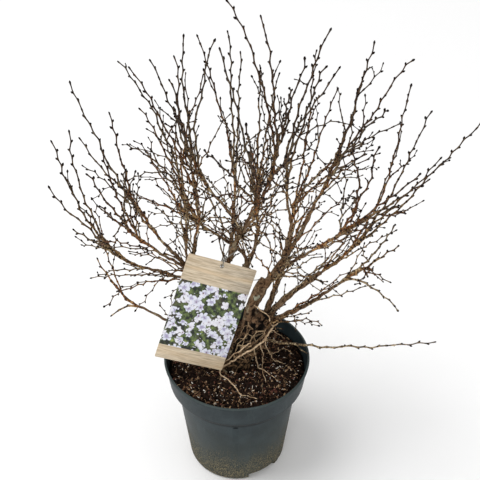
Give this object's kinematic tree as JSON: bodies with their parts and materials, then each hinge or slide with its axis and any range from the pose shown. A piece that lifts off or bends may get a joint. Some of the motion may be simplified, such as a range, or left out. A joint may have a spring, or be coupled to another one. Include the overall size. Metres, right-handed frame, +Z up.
{
  "type": "potted kojo-no-mai fuji cherry",
  "caption": "Bare winter shrub: a short leaning forked trunk, spreading boughs and fine twigs, standing in a round nursery pot of compost, with a picture label hung on a stem.",
  "frame": {"origin": "centre of the pot's flat underside", "axes": "+Z up the pot's axis, the plant's and label's front faces -Y, +X to the right as seen from the front"},
  "size_m": [0.5721, 0.4553, 0.758],
  "materials": {
    "pot_plastic": "satin dark slate grey moulded plastic, stained brown near its foot",
    "compost": "loose dark bark and peat compost with pale flecks",
    "bark": "rough dark brown bark with grey patches",
    "twigs": "thin brown bark with dark buds",
    "roots": "pale tan root bark",
    "label_card": null,
    "loop": "thin pale plastic tie"
  },
  "bodies": {
    "root": {"pot": "pot_plastic", "soil": "compost", "trunk": "bark", "bough_right_inner": "bark", "bough_right_outer": "bark", "bough_low_right": "bark", "bough_back_right": "bark", "bough_centre": "bark", "bough_left": "bark", "bough_back": "bark", "bough_low_left": "bark", "bough_right_upper": "bark", "bough_right_middle": "bark", "bough_right_front": "bark", "bough_centre_left": "bark", "bough_centre_right": "bark", "bough_centre_back": "bark", "bough_front": "bark", "bough_left_back": "bark", "bough_left_upper": "bark", "bough_left_inner": "bark", "bough_left_front": "bark", "bough_left_low": "bark", "bough_back_middle": "bark", "bough_back_left": "bark", "twigs_right_upper": "twigs", "twigs_right_middle": "twigs", "twigs_right_front": "twigs", "twigs_right_outer": "twigs", "twigs_low_right": "twigs", "twigs_centre_left": "twigs", "twigs_centre_right": "twigs", "twigs_centre_back": "twigs", "twigs_front": "twigs", "twigs_left_inner": "twigs", "twigs_left_back": "twigs", "twigs_left_upper": "twigs", "twigs_left_front": "twigs", "twigs_left_low": "twigs", "twigs_low_left": "twigs", "twigs_back_middle": "twigs", "twigs_back_right": "twigs", "twigs_back_left": "twigs", "twigs_low_shoot": "twigs", "surface_roots": "roots", "label": "label_card", "label_loop": "loop"}
  },
  "joints": []
}
